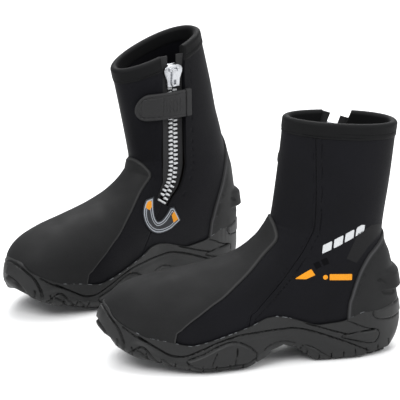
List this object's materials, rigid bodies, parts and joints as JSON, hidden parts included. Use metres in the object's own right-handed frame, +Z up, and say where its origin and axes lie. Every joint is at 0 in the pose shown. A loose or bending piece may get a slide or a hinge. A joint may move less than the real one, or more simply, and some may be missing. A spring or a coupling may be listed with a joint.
{
  "type": "neoprene dive boots",
  "caption": "Pair of ankle-high neoprene boots with rubber sole, toe guard, heel cap with fin-strap ledge, side zip and closing strap.",
  "frame": {"origin": "on the floor under the middle of the pair's bounding box", "axes": "+X from the left boot's toe to its heel, +Y from the left boot to the right boot, +Z up"},
  "size_m": [0.372, 0.3536, 0.2638],
  "materials": {
    "sole_rubber": "satin moulded rubber",
    "guard_rubber": "fine matt grain",
    "strap_rubber": "matt moulded rubber",
    "neoprene": "nylon-faced neoprene, fine knit",
    "hem_cloth": "folded stretch nylon, stitched",
    "insole_foam": "matt",
    "zip_tape": "woven tape",
    "hook_loop": "matt nap",
    "zip_teeth": "moulded, semi-gloss",
    "slider_metal": "bright cast",
    "badge_rubber": "moulded, silver outlines"
  },
  "bodies": {
    "left_boot": {"left_sole": "sole_rubber", "left_insole": "insole_foam", "left_front_panel": "neoprene", "left_rear_panel": "neoprene", "left_toe_guard": "guard_rubber", "left_heel_cap": "guard_rubber", "left_collar_hem": "hem_cloth", "left_zip_tape_front": "zip_tape", "left_zip_tape_rear": "zip_tape", "left_zip_teeth_front": "zip_teeth", "left_zip_teeth_rear": "zip_teeth", "left_zip_bottom_stop": "zip_teeth", "left_zip_gusset": "neoprene", "left_strap_loop_patch": "hook_loop", "left_strap_root": "strap_rubber", "left_ankle_badge": "badge_rubber"},
    "left_slider": {"left_zip_slider": "slider_metal"},
    "left_pull": {"left_zip_pull": "slider_metal"},
    "left_strap": {"left_closing_strap": "strap_rubber", "left_strap_hook_patch": "hook_loop"},
    "right_boot": {"right_sole": "sole_rubber", "right_insole": "insole_foam", "right_front_panel": "neoprene", "right_rear_panel": "neoprene", "right_toe_guard": "guard_rubber", "right_heel_cap": "guard_rubber", "right_collar_hem": "hem_cloth", "right_zip_tape_front": "zip_tape", "right_zip_tape_rear": "zip_tape", "right_zip_teeth_front": "zip_teeth", "right_zip_teeth_rear": "zip_teeth", "right_zip_bottom_stop": "zip_teeth", "right_zip_gusset": "neoprene", "right_strap_loop_patch": "hook_loop", "right_strap_root": "strap_rubber", "right_ankle_badge": "badge_rubber"},
    "right_slider": {"right_zip_slider": "slider_metal"},
    "right_pull": {"right_zip_pull": "slider_metal"},
    "right_strap": {"right_closing_strap": "strap_rubber", "right_strap_hook_patch": "hook_loop"}
  },
  "joints": [
    {"name": "left_zip_travel", "type": "slide", "parent": "left_boot", "child": "left_slider", "axis": [-0.3437, 0.0168, -0.9389], "range_m": [0, 0.08]},
    {"name": "left_pull_swing", "type": "hinge", "parent": "left_slider", "child": "left_pull", "pos_m": [0.11965, -0.09519, 0.21707], "axis": [0.936, 0.0872, -0.3411], "range_deg": [0, 150]},
    {"name": "left_strap_swing", "type": "hinge", "parent": "left_boot", "child": "left_strap", "pos_m": [0.11731, -0.08849, 0.17982], "axis": [-0.3437, 0.0168, -0.9389], "range_deg": [0, 150]},
    {"name": "right_zip_travel", "type": "slide", "parent": "right_boot", "child": "right_slider", "axis": [0.0083, -0.0135, -0.9999], "range_m": [0, 0.08]},
    {"name": "right_pull_swing", "type": "hinge", "parent": "right_slider", "child": "right_pull", "pos_m": [-0.00106, 0.0828, 0.23116], "axis": [-0.9063, -0.4226, -0.0018], "range_deg": [0, 150]},
    {"name": "right_strap_swing", "type": "hinge", "parent": "right_boot", "child": "right_strap", "pos_m": [0.01148, 0.08234, 0.19537], "axis": [-0.0083, 0.0135, 0.9999], "range_deg": [0, 150]},
    {"name": "right_boot_lift", "type": "slide", "parent": "left_boot", "child": "right_boot", "axis": [0, 0, 1], "range_m": [0, 0.27]}
  ]
}
